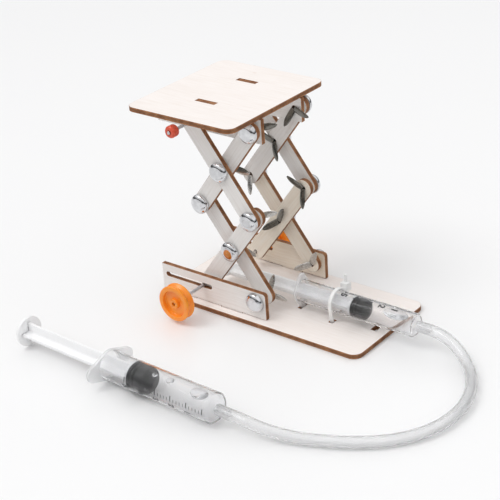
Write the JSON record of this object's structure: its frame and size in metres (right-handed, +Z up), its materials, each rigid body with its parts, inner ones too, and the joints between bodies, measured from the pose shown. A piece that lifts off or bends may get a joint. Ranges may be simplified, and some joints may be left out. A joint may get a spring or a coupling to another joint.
{
  "type": "hydraulic scissor lift kit",
  "caption": "Plywood two-stage scissor lift table moved by a lift syringe that slides its lower axle, joined by a clear hose to a larger hand syringe.",
  "frame": {"origin": "middle of the base plate's underside", "axes": "+X along the base towards the hose end, +Y towards the far rail, +Z up"},
  "size_m": [0.2455, 0.1847, 0.1258],
  "materials": {
    "ply": "bare pale plywood faces with laser-browned edges",
    "chrome_pin": "mirror-plated split pins",
    "steel": "plain drawn steel rod",
    "orange_plastic": "glossy injection-moulded orange plastic",
    "red_plastic": "glossy red-orange plastic",
    "syringe_plastic": "clear to slightly milky polypropylene",
    "plunger_plastic": "milky white polypropylene",
    "piston_rubber": "satin black rubber",
    "tie_nylon": "natural white nylon",
    "hose_plastic": "clear soft plastic hose"
  },
  "bodies": {
    "base": {"base_plate": "ply", "near_rail": "ply", "far_rail": "ply", "near_pin_1": "chrome_pin", "far_pin_1": "chrome_pin", "lift_barrel": "syringe_plastic", "cable_tie": "tie_nylon", "hand_barrel": "syringe_plastic", "hose": "hose_plastic"},
    "near_lower_fixed": {"near_arm_lower_fixed": "ply", "near_pin_4": "chrome_pin"},
    "near_lower_slide": {"near_arm_lower_slide": "ply", "near_pin_2": "chrome_pin", "near_pin_3": "chrome_pin"},
    "near_upper_slide": {"near_arm_upper_slide": "ply"},
    "near_upper_fixed": {"near_arm_upper_fixed": "ply", "near_pin_5": "chrome_pin"},
    "far_lower_fixed": {"far_arm_lower_fixed": "ply", "far_pin_4": "chrome_pin"},
    "far_lower_slide": {"far_arm_lower_slide": "ply", "far_pin_2": "chrome_pin", "far_pin_3": "chrome_pin"},
    "far_upper_slide": {"far_arm_upper_slide": "ply"},
    "far_upper_fixed": {"far_arm_upper_fixed": "ply", "far_pin_5": "chrome_pin"},
    "platform": {"platform": "ply", "near_bracket": "ply", "far_bracket": "ply", "near_pin_6": "chrome_pin", "far_pin_6": "chrome_pin"},
    "lower_axle": {"lower_axle": "steel", "near_pulley": "orange_plastic", "far_pulley": "orange_plastic"},
    "upper_axle": {"upper_axle": "steel", "near_collar": "red_plastic", "far_collar": "red_plastic"},
    "lift_plunger": {"lift_plunger": "plunger_plastic", "lift_piston": "piston_rubber"},
    "hand_plunger": {"hand_plunger": "plunger_plastic", "hand_piston": "piston_rubber"}
  },
  "joints": [
    {"name": "lift", "type": "hinge", "parent": "base", "child": "near_lower_fixed", "pos_m": [-0.0012, -0.0194, 0.0132], "axis": [0, 1, 0], "range_deg": [-26.8, 5.3]},
    {"name": "near_lower_cross", "type": "hinge", "parent": "near_lower_fixed", "child": "near_lower_slide", "pos_m": [-0.02068, -0.0238, 0.03891], "axis": [0, 1, 0], "range_deg": [-10.6, 53.6]},
    {"name": "near_middle", "type": "hinge", "parent": "near_lower_slide", "child": "near_upper_slide", "pos_m": [-0.0012, -0.0282, 0.06461], "axis": [0, 1, 0], "range_deg": [-53.6, 10.6]},
    {"name": "near_upper_cross", "type": "hinge", "parent": "near_upper_slide", "child": "near_upper_fixed", "pos_m": [-0.02068, -0.0238, 0.09032], "axis": [0, 1, 0], "range_deg": [-10.6, 53.6]},
    {"name": "platform_pivot", "type": "hinge", "parent": "near_upper_fixed", "child": "platform", "pos_m": [-0.0012, -0.0194, 0.11602], "axis": [0, 1, 0], "range_deg": [-26.8, 5.3]},
    {"name": "far_lift", "type": "hinge", "parent": "base", "child": "far_lower_fixed", "pos_m": [-0.0012, 0.0263, 0.0132], "axis": [0, 1, 0], "range_deg": [-26.8, 5.3]},
    {"name": "far_lower_cross", "type": "hinge", "parent": "far_lower_fixed", "child": "far_lower_slide", "pos_m": [-0.02068, 0.0219, 0.03891], "axis": [0, 1, 0], "range_deg": [-10.6, 53.6]},
    {"name": "far_middle", "type": "hinge", "parent": "far_lower_slide", "child": "far_upper_slide", "pos_m": [-0.0012, 0.0263, 0.06461], "axis": [0, 1, 0], "range_deg": [-53.6, 10.6]},
    {"name": "far_upper_cross", "type": "hinge", "parent": "far_upper_slide", "child": "far_upper_fixed", "pos_m": [-0.02068, 0.0219, 0.09032], "axis": [0, 1, 0], "range_deg": [-10.6, 53.6]},
    {"name": "lower_axle_spin", "type": "hinge", "parent": "near_lower_slide", "child": "lower_axle", "pos_m": [-0.04015, 0, 0.0132], "axis": [0, 1, 0], "continuous": true},
    {"name": "upper_axle_spin", "type": "hinge", "parent": "near_upper_slide", "child": "upper_axle", "pos_m": [-0.04015, 0, 0.11602], "axis": [0, 1, 0], "continuous": true},
    {"name": "lift_plunger_pivot", "type": "hinge", "parent": "near_lower_slide", "child": "lift_plunger", "pos_m": [-0.04015, -0.0044, 0.0132], "axis": [0, 1, 0], "range_deg": [-26.8, 5.3]},
    {"name": "hand_plunger_slide", "type": "slide", "parent": "base", "child": "hand_plunger", "axis": [-0.9995, 0.0314, 0], "range_m": [-0.01205, 0.00239]}
  ],
  "couplings": [
    {"joint": "near_lower_cross", "follows": "lift", "ratio": -2},
    {"joint": "near_middle", "follows": "lift", "ratio": 2},
    {"joint": "near_upper_cross", "follows": "lift", "ratio": -2},
    {"joint": "platform_pivot", "follows": "lift", "ratio": 1},
    {"joint": "far_lift", "follows": "lift", "ratio": 1},
    {"joint": "far_lower_cross", "follows": "lift", "ratio": -2},
    {"joint": "far_middle", "follows": "lift", "ratio": 2},
    {"joint": "far_upper_cross", "follows": "lift", "ratio": -2},
    {"joint": "lift_plunger_pivot", "follows": "lift", "ratio": 1},
    {"joint": "hand_plunger_slide", "follows": "lift", "m_per_rad": 0.02572}
  ]
}
